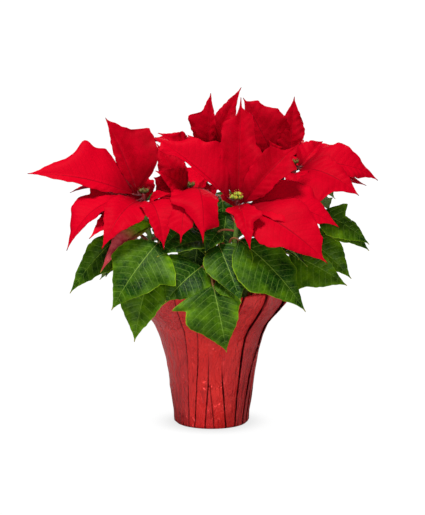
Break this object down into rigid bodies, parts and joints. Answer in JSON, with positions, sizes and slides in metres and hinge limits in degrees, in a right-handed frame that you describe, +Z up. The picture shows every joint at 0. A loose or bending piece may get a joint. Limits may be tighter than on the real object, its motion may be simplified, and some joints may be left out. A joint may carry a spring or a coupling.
{
  "type": "potted poinsettia",
  "caption": "Potted flowering poinsettia with lobed red bracts round small flower clusters over dark green leaves, in a pleated flared foil pot cover.",
  "frame": {"origin": "centre of the pot cover's foot, on the surface that it stands on", "axes": "+Z up along the pot, -Y towards the front of the plant, +X to the right seen from the front"},
  "size_m": [0.4325, 0.3254, 0.4154],
  "materials": {
    "foil": "satin foil on paper, pleated",
    "pot_plastic": "thin moulded plastic",
    "soil": "moist peat",
    "bark": "young bark",
    "leaf": "satin leaf",
    "bract": "velvety matt bract",
    "flower": "satin"
  },
  "bodies": {
    "root": {"pot_cover": "foil", "grower_pot": "pot_plastic", "soil": "soil", "woody_stem": "bark", "leafy_stem_front_right": "leaf", "leafy_stem_left": "leaf", "leafy_stem_middle": "leaf", "leafy_stem_back_left": "leaf", "leafy_stem_back_right": "leaf", "leafy_stem_right": "leaf", "bracts_front_right": "bract", "bracts_left": "bract", "bracts_middle": "bract", "bracts_back_left": "bract", "bracts_back_right": "bract", "bracts_right": "bract", "flowers_front_right": "flower", "flowers_left": "flower", "flowers_middle": "flower", "flowers_back_left": "flower", "flowers_back_right": "flower", "flowers_right": "flower"}
  },
  "joints": []
}
